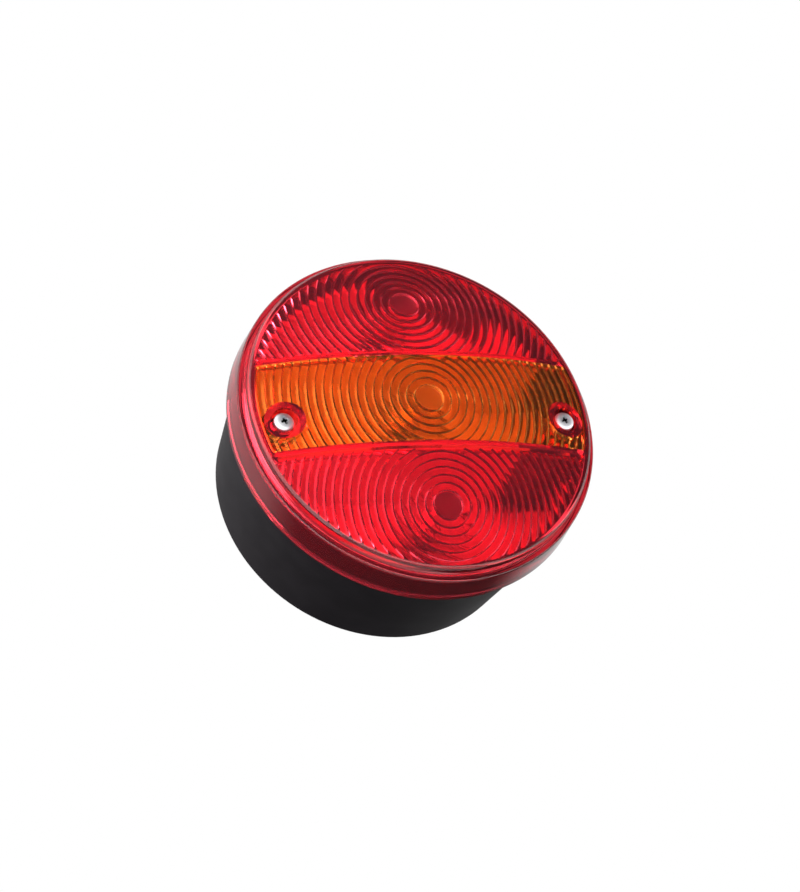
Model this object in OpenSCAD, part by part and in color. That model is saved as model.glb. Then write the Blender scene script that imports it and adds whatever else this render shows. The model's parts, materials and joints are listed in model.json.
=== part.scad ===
// Round three-chamber tail lamp: a black base bolted to a panel, a white reflector tray that carries three
// bayonet bulbs, and a red and amber lens held by two screws. Millimetres. The lamp looks along -Y and +Z is up.
// The origin is the centre of the back face that meets the panel. Every module is drawn with the lamp's axis
// along +Z, back face at z = 0, and is turned to its place by lamp().

/* [Overall] */
// Diameter of the lens at its skirt's edge
lens_d = 140; // [136:1:180]
// Height of the lens skirt's edge above the back face
base_h = 48; // [44:1:60]
// Height of the lens from its skirt's edge to the crown of its dome
lens_h = 27.3; // [25:0.1:32]

/* [Base] */
// Thickness of the base's walls and floor
base_wall = 2.5; // [2:0.1:3.2]
// How far the base's back edge lies inside the lens diameter, per side
back_inset = 9; // [7:0.5:11]
// How far the base's front edge lies inside the lens diameter, per side
front_inset = 2.8; // [2.6:0.1:3.2]
// Radius of the base's back corner
back_corner = 1.5; // [0.5:0.5:2]
// Height of the spigot that stands up inside the lens skirt
spigot_h = 8.4; // [7:0.1:9]
// Thickness of the flange that the lens skirt sits over
flange_t = 2; // [1.5:0.5:3]

/* [Lens] */
// Wall of the lens skirt
skirt_wall = 2.4; // [2:0.1:2.6]
// Wall of the lens dome
dome_wall = 3; // [2.4:0.1:3.4]
// Draft of the skirt from its edge to the ledge, per side
skirt_draft = 0.6; // [0.2:0.1:1]
// Height of the ledge above the skirt's edge
ledge_h = 13; // [12:0.5:14]
// Width of the ledge round the raised rim
ledge_w = 2.1; // [1.5:0.1:3]
// Height from the ledge to the edge of the dome
rim_h = 5; // [4:0.5:6]
// Radius of the raised rim's edge
rim_round = 2; // [1:0.5:2.5]
// Height of the amber band
band_h = 36.4; // [32:0.4:44]
// Welded seam between the amber insert and the red moulding
seam = 0.05; // [0.03:0.01:0.1]
// Depth of the red ribs that part the three sections, below the dome's inner face
rib_depth = 2.6; // [2:0.2:10]
// Thickness of the red ribs
rib_t = 2.8; // [1.2:0.1:3.2]

/* [Gasket] */
// Thickness of the lens gasket
gasket_t = 2; // [1:0.1:2.4]
// Width of the lens gasket
gasket_w = 2.2; // [1.8:0.1:2.3]

/* [Lens screws] */
// Distance of the screws inside the lens diameter, per side
screw_inset = 14.6; // [14:0.1:18]
// How far the screws sit below the lamp's centre
screw_drop = 6; // [0:0.5:8]
// Shank diameter of the lens screws
screw_d = 3.9; // [3.5:0.1:4.2]
// Length of the lens screws below the head
screw_len = 25; // [22:1:30]
// Head diameter of the lens screws
screw_head_d = 7.6; // [6.8:0.1:9]
// Head height of the lens screws
screw_head_h = 2.7; // [2.2:0.1:3]
// Outer diameter of the red screw well
well_d = 15; // [13:0.5:15]
// Depth of the well's floor below the dome
well_depth = 3.6; // [3:0.1:4.5]

/* [Reflector tray] */
// Height of the tray's floor above the back face
tray_h = 30; // [29:1:34]
// Thickness of the tray's floor
tray_t = 2; // [1.6:0.1:2.5]
// Thickness of the tray's rim and partitions
partition_t = 1.6; // [1.2:0.1:2.4]
// Gap between the tray and the base's wall
tray_gap = 0.6; // [0.4:0.1:1]

/* [Bulbs] */
// Distance of the outer bulbs' axes inside the lens diameter
bulb_inset = 27; // [26:0.5:30]
// Bayonet cap diameter
cap_d = 15; // [15:1:15]
// Running clearance between cap and holder, per side
cap_fit = 0.1; // [0.05:0.01:0.1]
// Sheet thickness of the holders, straps and earth bar
sheet_t = 0.8; // [0.6:0.1:1]
// Wall of the holder's barrel
barrel_wall = 0.6; // [0.5:0.1:0.8]
// Depth of the bayonet pins below the tray's floor
pin_depth = 10; // [9:0.5:10]
// Travel of the spring contact when a bulb is pressed in
press_travel = 1.5; // [1:0.1:2]
// Turn that frees a bulb
free_turn = 30; // [20:5:35]

/* [Mounting] */
// Distance between the two mounting studs
stud_spacing = 45; // [42:1:50]
// Diameter of the mounting studs
stud_d = 6; // [5:1:6]
// Length of the studs behind the back face
stud_len = 22; // [16:1:30]

/* [Cable entry] */
// Bore of the cable grommet
cable_bore_d = 7.2; // [6:0.1:8]
// Hole in the base for the grommet
grommet_hole_d = 14; // [13:0.5:15]

/* [Hidden] */
$fn = 96;

black_plastic = [0.09, 0.09, 0.1];
white_plastic = [0.92, 0.92, 0.9];
red_clear = [0.9, 0.08, 0.1];
amber_clear = [0.97, 0.5, 0.08];
zinc = [0.78, 0.79, 0.8];
brass = [0.83, 0.68, 0.34];
rubber_black = [0.13, 0.13, 0.14];
bulb_clear = [0.93, 0.95, 0.96];

// Small gaps: between fixed neighbours, between flat faces that meet, and round a screw in its hole
gap = 0.3;
face_gap = 0.1;
shank_fit = 0.05;

// Radial sizes of the base and the lens
lens_r = lens_d / 2;
back_r = lens_r - back_inset;
front_r = lens_r - front_inset;
spigot_r = lens_r - skirt_wall - skirt_draft - 0.5;
rim_base_r = lens_r - skirt_draft - ledge_w;
rim_r = rim_base_r - 0.5;
dome_r = rim_r - rim_round;
rim_in_r = rim_r - skirt_wall - 0.2;
amber_r = rim_in_r;

// Levels of the lens and the base
ledge_z = base_h + ledge_h;
dome_edge_z = ledge_z + rim_h;
crown_z = base_h + lens_h;
dome_rise = crown_z - dome_edge_z;
dome_ball_r = (dome_r * dome_r + dome_rise * dome_rise) / (2 * dome_rise);
ledge_under_z = ledge_z - skirt_wall;
spigot_top = base_h + spigot_h;

// Lens screws and the pillars below them
screw_x = lens_r - screw_inset;
screw_places = [[-screw_x, -screw_drop], [screw_x, -screw_drop]];
washer_t = 0.6;
well_floor_z = dome_z(norm(screw_places[0])) - well_depth;
well_floor_t = 3;
screw_head_z = well_floor_z + washer_t + face_gap;
well_tube_r = 4.6;
pillar_r = 5;
pillar_top = base_h + 6;
pillar_hole_depth = screw_len - (screw_head_z - pillar_top) + 3;

// Stack of one bulb station, from the tray's floor down to the contact
barrel_r = cap_d / 2 + cap_fit;
barrel_out_r = barrel_r + barrel_wall;
barrel_top = tray_h + 1;
pin_r = 1;
pin_z = tray_h - pin_depth;
pin_reach = barrel_out_r + 0.6;
contact_z = pin_z - 7;
cap_bottom = contact_z + 1.2;
cap_top = pin_z + 9;
cap_wall = 0.5;
neck_r = cap_d / 2 - cap_wall - 0.15;
glass_t = 0.7;
pip_top = contact_z - face_gap;
plunger_t = 2.9;
plunger_top = pip_top - 0.5;
plunger_bottom = plunger_top - plunger_t;
plunger_r = barrel_r - 0.4;
pip_r = 2.6;
strap_top = base_wall + sheet_t;
barrel_bottom = plunger_bottom - press_travel - 2;
tower_top = barrel_bottom + 3;
tower_r = barrel_out_r + 0.5;
tower_wall = 1.8;
tray_bottom = tray_h - tray_t;
rivet_y = barrel_out_r + 2.8;
lug_reach = rivet_y + 2.4;
rivet_r = 1.4;

// Stations: place of the axis, bulb radius, and height of the bulb's tip and filament above its pins
bulb_offset = lens_r - bulb_inset;
TAIL = [[0, bulb_offset], 9.5, 29, 19];
INDICATOR = [[0, 0], 13.25, 45, 31.8];
STOP = [[0, -bulb_offset], 13.25, 45, 31.8];
STATIONS = [TAIL, INDICATOR, STOP];

// Things on the base's floor
stud_places = [[-stud_spacing / 2, 0], [stud_spacing / 2, 0]];
stud_plate = 14;
stud_plate_t = 1.5;
stud_neck_r = stud_d / 2 + 0.25;
stud_head_r = 5.2;
stud_head_h = 3.2;
post_r = 3.6;
post_places = [[-38, -26], [38, -26], [-20, 42]];
tray_screw_r = 1.5;
tray_screw_len = 10;
grommet_place = [-36, 22];
grommet_lip = 2.8;
grommet_recess = 2.5;
grommet_seat_t = base_wall;
terminal_y = 24;
terminal_x = [23, 29.5, 36];
blade_w = 6.3;
blade_top = base_wall + 16.5;
block_size = [22, 11, 7];
strap_w = 4;

// Height of the dome's outer face at a radius
function dome_z(r) = crown_z - dome_ball_r + sqrt(dome_ball_r * dome_ball_r - r * r);
// Points along the dome from one radius to another, a depth below its outer face
function dome_points(from, to, depth, n = 16) =
    [for (i = [0 : n]) let (r = from + (to - from) * i / n) [r, dome_z(r) - depth]];
// Points along an arc
function arc(centre, r, from, to, n = 8) =
    [for (i = [0 : n]) let (a = from + (to - from) * i / n) centre + r * [cos(a), sin(a)]];
// Radius of the base's outer face at a height
function base_r(z) = back_r + (front_r - back_r) * z / base_h;
// Radius of the tray, which drops into the base
tray_r = base_r(tray_bottom) - base_wall - tray_gap;

// Turns a piece from the lamp's own axis to its place on the panel
module lamp() {
    rotate([90, 0, 0]) children();
}

// Puts a piece at a place on the base's floor plan
module at(place) {
    translate([place[0], place[1], 0]) children();
}

// A ring or a disc between two heights
module disc(r, z0, z1, bore = 0) {
    translate([0, 0, z0]) difference() {
        cylinder(r = r, h = z1 - z0);
        if (bore > 0) translate([0, 0, -1]) cylinder(r = bore, h = z1 - z0 + 2);
    }
}

// A block between two heights, centred on the axis
module block(size, z0, z1) {
    translate([-size[0] / 2, -size[1] / 2, z0]) cube([size[0], size[1], z1 - z0]);
}

// A flat strip along a path, with round ends and corners a little wider than the strip
module strip(path, w) {
    for (p = path) translate(p) circle(d = w + 0.2);
    for (i = [0 : len(path) - 2]) let (d = path[i + 1] - path[i])
        translate(path[i]) rotate(atan2(d[1], d[0])) translate([0, -w / 2]) square([norm(d), w]);
}

// A coil spring of round wire, standing on z0 and reaching z1
module coil(mean_r, wire_r, z0, z1, turns) {
    sides = 6;
    rings = 14 * turns;
    points = [
        for (i = [0 : rings]) let (a = 360 * turns * i / rings, z = z0 + wire_r + (z1 - z0 - 2 * wire_r) * i / rings)
            for (k = [0 : sides - 1]) let (b = 360 * k / sides, r = mean_r + wire_r * cos(b))
                [r * cos(a), r * sin(a), z + wire_r * sin(b)]
    ];
    walls = [
        for (i = [0 : rings - 1]) for (k = [0 : sides - 1])
            let (p = i * sides + k, q = i * sides + (k + 1) % sides)
                each [[p, q, q + sides], [p, q + sides, p + sides]]
    ];
    first = [for (k = [sides - 1 : -1 : 0]) k];
    last = [for (k = [0 : sides - 1]) rings * sides + k];
    polyhedron(points, concat(walls, [first, last]));
}

// Base: tapered cup with a flange, a spigot, towers, posts, screw pillars and the cable seat
module housing_shell() {
    corner = arc([back_r - back_corner, back_corner], back_corner, -90, 0, 6);
    wall_top = base_h - gap;
    rotate_extrude() polygon(concat(
        [[0, 0]], corner,
        [
            [base_r(wall_top - flange_t), wall_top - flange_t],
            [front_r + 0.8, wall_top - flange_t + 0.8], [front_r + 0.8, wall_top],
            [spigot_r, wall_top], [spigot_r, spigot_top], [spigot_r - base_wall, spigot_top],
            [spigot_r - base_wall, wall_top - flange_t], [back_r - base_wall + 0.5, base_wall], [0, base_wall]
        ]
    ));
}

module housing() {
    seat_r = grommet_hole_d / 2 + grommet_lip + gap;
    color(black_plastic) lamp() difference() {
        union() {
            housing_shell();
            for (s = STATIONS) at(s[0]) disc(tower_r + tower_wall, base_wall - 0.1, tower_top);
            for (p = post_places) at(p) disc(post_r, base_wall - 0.1, tray_bottom);
            for (p = screw_places) at(p) disc(pillar_r, base_wall - 0.1, pillar_top);
            at(grommet_place) disc(seat_r + base_wall, base_wall - 0.1, grommet_recess + grommet_seat_t);
        }
        for (s = STATIONS) at(s[0]) disc(tower_r, base_wall, tower_top + 1);
        for (p = post_places) at(p) disc(tray_screw_r + shank_fit, tray_h - tray_screw_len - 2, tray_h);
        for (p = screw_places) at(p)
            disc(screw_d / 2 + shank_fit, pillar_top - pillar_hole_depth, pillar_top + 1);
        for (p = stud_places) at(p) disc(stud_neck_r + face_gap, -1, base_wall + 1);
        at(grommet_place) disc(grommet_hole_d / 2, -1, grommet_recess + grommet_seat_t + 1);
        at(grommet_place) disc(seat_r, -1, grommet_recess);
        translate([0, 0, base_wall]) linear_extrude(sheet_t + gap)
            for (path = strap_paths()) strip(path, strap_w + 2 * gap);
    }
}

// Tray: white floor with a rim and two partitions that reach the lens ribs, resting on the base's posts
module reflector_tray() {
    rim_top = base_h + 5;
    color(white_plastic) lamp() difference() {
        union() {
            disc(tray_r, tray_bottom, tray_h);
            disc(tray_r, tray_h - 0.1, rim_top, tray_r - partition_t);
            intersection() {
                for (side = [-1, 1]) translate([0, side * (band_h + rib_t) / 2, 0])
                    block([2 * tray_r, partition_t], tray_h - 0.1, crown_z);
                disc(tray_r - 0.5, tray_h - 1, crown_z);
                translate([0, 0, crown_z - dome_ball_r]) sphere(r = dome_ball_r - dome_wall - rib_depth - 1);
            }
        }
        for (s = STATIONS) at(s[0]) {
            disc(barrel_out_r + gap, tray_bottom - 1, tray_h + 1);
            rivet_places() disc(rivet_r + shank_fit, tray_bottom - 1, tray_h + 1);
        }
        for (p = post_places) at(p) disc(tray_screw_r + shank_fit, tray_bottom - 1, tray_h + 1);
        for (p = screw_places) at(p) disc(pillar_r + gap, tray_bottom - 1, crown_z);
    }
}

module lens_gasket() {
    color(rubber_black) lamp()
        disc(spigot_r - 0.1, spigot_top, spigot_top + gasket_t, spigot_r - 0.1 - gasket_w);
}

// Red moulding: skirt, ledge, raised rim, the top and bottom sections of the dome and the ribs beside the amber band
module lens_red() {
    skirt_round = 0.8;
    skirt_top_r = lens_r - skirt_draft;
    shell = concat(
        [[lens_r, base_h]],
        arc([skirt_top_r - skirt_round, ledge_z - skirt_round], skirt_round, 0, 90, 4),
        [[rim_base_r, ledge_z]],
        arc([dome_r, dome_edge_z - rim_round], rim_round, 0, 90, 6),
        dome_points(dome_r - 1, 0, 0),
        dome_points(0, rim_in_r, dome_wall),
        [[rim_in_r, ledge_under_z], [skirt_top_r - skirt_wall, ledge_under_z], [lens_r - skirt_wall, base_h]]
    );
    color(red_clear) lamp() {
        difference() {
            rotate_extrude() polygon(shell);
            intersection() {
                disc(amber_r, ledge_z, crown_z + 1);
                block([lens_d, band_h], ledge_z, crown_z + 1);
            }
        }
        difference() {
            intersection() {
                for (side = [-1, 1]) translate([0, side * (band_h + rib_t) / 2, 0])
                    block([lens_d, rib_t], ledge_under_z - rib_depth, crown_z);
                union() {
                    disc(rim_in_r + 0.5, ledge_under_z, crown_z);
                    disc(spigot_r - base_wall - gap, ledge_under_z - rib_depth, ledge_under_z + 0.1);
                }
                translate([0, 0, crown_z - dome_ball_r]) sphere(r = dome_ball_r - dome_wall + 0.5, $fn = 200);
            }
            translate([0, 0, crown_z - dome_ball_r]) sphere(r = dome_ball_r - dome_wall - rib_depth, $fn = 200);
        }
    }
}

module lens_amber() {
    color(amber_clear) lamp() difference() {
        intersection() {
            rotate_extrude() polygon(concat(
                dome_points(amber_r - seam, 0, 0), dome_points(0, amber_r - seam, dome_wall)
            ));
            block([lens_d, band_h - 2 * seam], ledge_z, crown_z + 1);
        }
        for (p = screw_places) at(p) disc(well_d / 2, ledge_z, crown_z);
    }
}

// Red wells that the lens screws sit in, with tubes that reach down to the base's pillars
module screw_wells() {
    cup_r = well_d / 2 - seam;
    cup_bottom = well_floor_z - well_floor_t;
    color(red_clear) lamp() intersection() {
        for (p = screw_places) at(p) difference() {
            union() {
                disc(cup_r, cup_bottom, crown_z);
                disc(well_tube_r, pillar_top + gap, cup_bottom + 0.1);
            }
            disc(screw_head_d / 2 + 1.1, well_floor_z, crown_z + 1);
            disc(screw_d / 2 + gap, pillar_top, crown_z);
        }
        translate([0, 0, crown_z - dome_ball_r]) sphere(r = dome_ball_r, $fn = 200);
    }
}

// Pan head screw with a cross recess and a pointed end
module lens_screw(place) {
    head_r = screw_head_d / 2;
    point = 4;
    crown = 1.5;
    head_edge_z = screw_head_z + screw_head_h - crown;
    profile = concat(
        [[0, screw_head_z - screw_len], [screw_d / 2, screw_head_z - screw_len + point]],
        [[screw_d / 2, screw_head_z], [head_r, screw_head_z]],
        [for (a = [0 : 15 : 90]) [head_r * cos(a), head_edge_z + crown * sin(a)]]
    );
    color(zinc) lamp() at(place) difference() {
        rotate_extrude() polygon(profile);
        for (turn = [0, 90]) rotate(turn + 20)
            block([4.4, 1], screw_head_z + screw_head_h - 1.8, screw_head_z + screw_head_h + 1);
    }
}

module screw_washer(place) {
    color(rubber_black) lamp() at(place)
        disc(screw_head_d / 2 - 0.2, well_floor_z, well_floor_z + washer_t, screw_d / 2 + shank_fit);
}

// Bayonet holder: a sheet barrel with two L slots and a flange riveted under the tray
module holder(station) {
    slot_w = 2 * (pin_r + gap);
    hook_top = pin_z + pin_r + 0.2;
    hook_bottom = pin_z - pin_r - press_travel - gap;
    hook_turn = free_turn + 2 * (asin((pin_r + gap) / barrel_r) + 2);
    color(brass) lamp() at(station[0]) difference() {
        union() {
            disc(barrel_out_r, barrel_bottom, barrel_top, barrel_r);
            difference() {
                block([2 * (barrel_out_r + 1), 2 * lug_reach], tray_bottom - sheet_t, tray_bottom);
                disc(barrel_out_r - 0.1, tray_bottom - sheet_t - 1, tray_bottom + 1);
            }
        }
        rivet_places() disc(rivet_r + shank_fit, tray_bottom - sheet_t - 1, tray_bottom + 1);
        for (side = [0, 180]) rotate(side) {
            rotate(free_turn) translate([barrel_r - 1, -slot_w / 2, pin_z])
                cube([barrel_wall + 3, slot_w, barrel_top - pin_z + 1]);
            rotate(free_turn / 2 - hook_turn / 2) rotate_extrude(angle = hook_turn)
                translate([barrel_r - 1, hook_bottom]) square([barrel_wall + 2, hook_top - hook_bottom]);
        }
    }
}

// The two rivet places of a holder, either side of its barrel
module rivet_places() {
    for (side = [-1, 1]) translate([0, side * rivet_y, 0]) children();
}

module plunger(station) {
    color([0.35, 0.2, 0.12]) lamp() at(station[0])
        disc(plunger_r, plunger_bottom, plunger_top, pip_r + shank_fit);
}

module contact_pip(station) {
    color(brass) lamp() at(station[0]) disc(pip_r, plunger_bottom, pip_top);
}

module contact_spring(station) {
    color(zinc) lamp() at(station[0])
        coil(4.6, 0.45, strap_top + shank_fit, plunger_bottom - shank_fit, 3);
}

// Outline of a bulb's envelope, drawn in from its outer face by a depth
function envelope(ball_r, tip_z, depth) =
    let (centre = tip_z - ball_r, shoulder = -35, r = ball_r - depth)
    concat(
        [[neck_r - depth, cap_top - 3], [neck_r - depth, barrel_top + 1]],
        arc([0, centre], r, shoulder, 90, 14)
    );

module bulb_glass(station) {
    outer = envelope(station[1], pin_z + station[2], 0);
    inner = envelope(station[1], pin_z + station[2], glass_t);
    color(bulb_clear) lamp() at(station[0]) rotate_extrude()
        polygon(concat(outer, [for (i = [len(inner) - 1 : -1 : 0]) inner[i]]));
}

module bulb_cap(station) {
    color(zinc) lamp() at(station[0]) difference() {
        union() {
            disc(cap_d / 2, cap_bottom, cap_top);
            translate([0, 0, pin_z]) rotate([0, 90, 0]) cylinder(r = pin_r, h = 2 * pin_reach, center = true, $fn = 32);
        }
        disc(cap_d / 2 - cap_wall, cap_bottom - 1, cap_top + 1);
    }
}

module cap_insulator(station) {
    color(black_plastic) lamp() at(station[0])
        disc(cap_d / 2 - cap_wall - shank_fit, contact_z + 0.6, contact_z + 3);
}

module bulb_contact(station) {
    color(zinc) lamp() at(station[0]) disc(2.4, contact_z, contact_z + 0.6);
}

// Glass stem that is fused into the bulb's neck and carries the support wires
module bulb_stem(station) {
    foot = cap_top - 3;
    color(bulb_clear) lamp() at(station[0]) rotate_extrude()
        polygon([
            [0, foot], [neck_r - glass_t - shank_fit, foot], [neck_r - glass_t - shank_fit, foot + 1],
            [3.2, foot + 2], [2.6, stem_top(station) - 1], [1.6, stem_top(station)], [0, stem_top(station)]
        ]);
}
function stem_top(station) = pin_z + station[3] - 8;

module filament(station) {
    spread = 3.2;
    wire_r = 0.3;
    lit_z = pin_z + station[3];
    color(zinc) lamp() at(station[0]) {
        for (side = [-1, 1]) {
            lean = atan2(spread - 1, lit_z - stem_top(station));
            translate([side, 0, stem_top(station)]) rotate([0, side * lean, 0])
                cylinder(r = wire_r, h = (lit_z - stem_top(station)) / cos(lean), $fn = 16);
        }
        translate([0, 0, lit_z]) rotate([0, 90, 0]) cylinder(r = 0.55, h = 2 * spread, center = true, $fn = 24);
    }
}

module holder_rivets() {
    head_r = 2.3;
    head_h = 0.8;
    shank_bottom = tray_bottom - 2 * sheet_t;
    color(zinc) lamp() for (s = STATIONS) at(s[0]) rivet_places() {
        disc(rivet_r, shank_bottom, tray_h);
        disc(head_r, tray_h, tray_h + head_h);
        disc(head_r, shank_bottom - head_h, shank_bottom);
    }
}

module tray_screws() {
    color(zinc) lamp() for (p = post_places) at(p) difference() {
        union() {
            disc(tray_screw_r, tray_h - tray_screw_len, tray_h);
            disc(2 * tray_screw_r, tray_h, tray_h + 2);
        }
        for (turn = [0, 90]) rotate(turn) block([3.2, 0.8], tray_h + 1, tray_h + 3);
    }
}

// Paths of the three supply straps on the base's floor, from a contact to its blade
function strap_paths() = [
    [TAIL[0], [terminal_x[0], terminal_y + 8], [terminal_x[0], terminal_y]],
    [INDICATOR[0], [0, 14], [terminal_x[1], 14], [terminal_x[1], terminal_y]],
    [STOP[0], [terminal_x[2], -16], [terminal_x[2], terminal_y]]
];

module strap(station, i) {
    color(brass) lamp() {
        translate([0, 0, base_wall]) linear_extrude(sheet_t) {
            strip(strap_paths()[i], strap_w);
            translate(station[0]) circle(r = 6.2);
        }
        translate([terminal_x[i], terminal_y, 0]) block([sheet_t, blade_w], base_wall, blade_top);
    }
}

module terminal_block() {
    middle = [terminal_x[1], terminal_y];
    tunnel = strap_top + gap;
    color(white_plastic) lamp() difference() {
        at(middle) block(block_size, base_wall, base_wall + block_size[2]);
        at(middle) block([block_size[0] - 3, block_size[1] + 1], base_wall - 1, tunnel);
        for (x = terminal_x) at([x, terminal_y])
            block([sheet_t + 2 * gap, blade_w + 2 * gap], base_wall - 1, base_wall + block_size[2] + 1);
    }
}

// Strip under the holders that joins them to earth, with a blade turned down at one side
module earth_bar() {
    top = tray_bottom - sheet_t;
    bar_w = 2 * (barrel_out_r + 3);
    blade_x = -(barrel_out_r + 12);
    blade_y = bulb_offset / 2;
    color(brass) lamp() {
        difference() {
            union() {
                block([bar_w, 2 * (bulb_offset + lug_reach)], top - sheet_t, top);
                translate([blade_x, blade_y - blade_w / 2, top - sheet_t]) cube([-blade_x, blade_w, sheet_t]);
            }
            for (s = STATIONS) at(s[0]) {
                disc(barrel_out_r + gap, top - 2, top + 1);
                rivet_places() disc(rivet_r + shank_fit, top - 2, top + 1);
            }
        }
        translate([blade_x, blade_y - blade_w / 2, top - 12]) cube([sheet_t, blade_w, 12]);
    }
}

// Studs with a plain neck in the base's floor and the thread's cylinder behind it
module mounting_studs() {
    head_z = base_wall + stud_plate_t;
    color(zinc) lamp() for (p = stud_places) at(p) rotate_extrude() polygon([
        [0, -stud_len], [stud_d / 2 - 0.8, -stud_len], [stud_d / 2, -stud_len + 0.8], [stud_d / 2, 0],
        [stud_neck_r, 0], [stud_neck_r, head_z],
        [stud_head_r, head_z], [stud_head_r, head_z + stud_head_h - 1],
        [stud_head_r - 1.5, head_z + stud_head_h], [0, head_z + stud_head_h]
    ]);
}

module stud_washers() {
    color(zinc) lamp() for (p = stud_places) at(p) difference() {
        block([stud_plate, stud_plate], base_wall, base_wall + stud_plate_t);
        disc(stud_neck_r + face_gap, base_wall - 1, base_wall + stud_plate_t + 1);
    }
}

// Rubber grommet: an outer lip in the recess, a groove over the base's wall and a tapered sleeve inside
module cable_grommet() {
    lip_r = grommet_hole_d / 2 + grommet_lip;
    waist_r = grommet_hole_d / 2 - 0.1;
    groove_top = grommet_recess + grommet_seat_t + face_gap;
    sleeve_r = cable_bore_d / 2 + 1.6;
    color(rubber_black) lamp() at(grommet_place) rotate_extrude() polygon([
        [cable_bore_d / 2, gap], [lip_r, gap], [lip_r, grommet_recess - face_gap],
        [waist_r, grommet_recess - face_gap], [waist_r, groove_top], [lip_r - 0.6, groove_top],
        [waist_r + 0.6, groove_top + 2], [sleeve_r + 1, groove_top + 2.4], [sleeve_r, groove_top + 10],
        [cable_bore_d / 2, groove_top + 10]
    ]);
}

housing();
reflector_tray();
lens_gasket();
lens_red();
lens_amber();
screw_wells();
lens_screw(screw_places[0]);  // left_lens_screw
lens_screw(screw_places[1]);  // right_lens_screw
screw_washer(screw_places[0]);  // left_screw_washer
screw_washer(screw_places[1]);  // right_screw_washer
holder(TAIL);  // tail_holder
holder(INDICATOR);  // indicator_holder
holder(STOP);  // stop_holder
plunger(TAIL);  // tail_plunger
plunger(INDICATOR);  // indicator_plunger
plunger(STOP);  // stop_plunger
contact_pip(TAIL);  // tail_contact_pip
contact_pip(INDICATOR);  // indicator_contact_pip
contact_pip(STOP);  // stop_contact_pip
contact_spring(TAIL);  // tail_contact_spring
contact_spring(INDICATOR);  // indicator_contact_spring
contact_spring(STOP);  // stop_contact_spring
bulb_glass(TAIL);  // tail_bulb_glass
bulb_glass(INDICATOR);  // indicator_bulb_glass
bulb_glass(STOP);  // stop_bulb_glass
bulb_cap(TAIL);  // tail_bulb_cap
bulb_cap(INDICATOR);  // indicator_bulb_cap
bulb_cap(STOP);  // stop_bulb_cap
cap_insulator(TAIL);  // tail_cap_insulator
cap_insulator(INDICATOR);  // indicator_cap_insulator
cap_insulator(STOP);  // stop_cap_insulator
bulb_contact(TAIL);  // tail_bulb_contact
bulb_contact(INDICATOR);  // indicator_bulb_contact
bulb_contact(STOP);  // stop_bulb_contact
bulb_stem(TAIL);  // tail_bulb_stem
bulb_stem(INDICATOR);  // indicator_bulb_stem
bulb_stem(STOP);  // stop_bulb_stem
filament(TAIL);  // tail_filament
filament(INDICATOR);  // indicator_filament
filament(STOP);  // stop_filament
holder_rivets();
tray_screws();
terminal_block();
strap(TAIL, 0);  // tail_strap
strap(INDICATOR, 1);  // indicator_strap
strap(STOP, 2);  // stop_strap
earth_bar();
mounting_studs();
stud_washers();
cable_grommet();
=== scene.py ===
"""Looks of a round trailer tail lamp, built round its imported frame.

The lamp looks along -Y with +Z up, and the panel it is bolted to lies at y = 0. Outlines are drawn in
millimetres as (radius, height), where height is measured from the back face towards the lens.
"""

from __future__ import annotations

import json
import logging
import math
from dataclasses import dataclass, field
from enum import Enum
from functools import cache

import bpy
from mathutils import Matrix, Vector

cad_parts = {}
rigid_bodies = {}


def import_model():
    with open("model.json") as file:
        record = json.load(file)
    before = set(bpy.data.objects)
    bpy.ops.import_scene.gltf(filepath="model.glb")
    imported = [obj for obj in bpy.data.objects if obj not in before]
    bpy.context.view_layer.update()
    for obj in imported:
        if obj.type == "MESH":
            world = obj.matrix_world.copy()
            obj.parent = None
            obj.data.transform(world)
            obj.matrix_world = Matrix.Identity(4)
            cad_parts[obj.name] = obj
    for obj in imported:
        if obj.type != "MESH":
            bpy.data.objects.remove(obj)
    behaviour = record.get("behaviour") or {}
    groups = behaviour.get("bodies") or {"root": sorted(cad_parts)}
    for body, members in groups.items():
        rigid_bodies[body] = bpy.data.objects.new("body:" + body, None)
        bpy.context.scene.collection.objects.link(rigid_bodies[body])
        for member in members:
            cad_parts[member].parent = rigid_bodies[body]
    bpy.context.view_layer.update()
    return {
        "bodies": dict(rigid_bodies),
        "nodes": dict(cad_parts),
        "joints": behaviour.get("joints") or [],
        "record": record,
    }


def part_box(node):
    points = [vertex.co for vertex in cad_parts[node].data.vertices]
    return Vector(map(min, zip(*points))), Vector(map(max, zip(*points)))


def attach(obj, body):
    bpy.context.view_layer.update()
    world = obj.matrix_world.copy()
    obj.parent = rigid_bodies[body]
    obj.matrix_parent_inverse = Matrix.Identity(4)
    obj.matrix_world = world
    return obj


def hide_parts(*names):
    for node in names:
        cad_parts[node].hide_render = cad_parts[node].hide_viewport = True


LOG = logging.getLogger("tail_lamp")
MM = 0.001
FORWARD = Vector((0.0, -1.0, 0.0))
LENS_STEPS = 192  # segments round the lens's turned bodies
THREAD_STEPS = 28  # segments in each turn of a thread
ROOT = 0.15  # how far a thread starts inside its core, in millimetres
MIX_LOW, MIX_HIGH, MIX_COLOUR = 6, 7, 2  # sockets of a colour mix, whose names its other kinds share

Pair = tuple[float, float]
Outline = list[Pair]
Colour = tuple[float, float, float, float]
Point = tuple[float, float, float]
Box = tuple[Point, Point]
Piece = bpy.types.Object
Socket = bpy.types.NodeSocket
Tree = bpy.types.NodeTree
Node = bpy.types.Node


class Bulb(Enum):
    """The three bulb stations, by the name that starts each of their nodes."""

    TAIL = "tail"
    INDICATOR = "indicator"
    STOP = "stop"


class Join(Enum):
    """How a tool body meets the piece it is used on."""

    CUT = "DIFFERENCE"
    ADD = "UNION"
    KEEP_INSIDE = "INTERSECT"


class Side(Enum):
    """The two sides of the lamp, as someone who faces the lens sees them."""

    LEFT = "left"
    RIGHT = "right"


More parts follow.
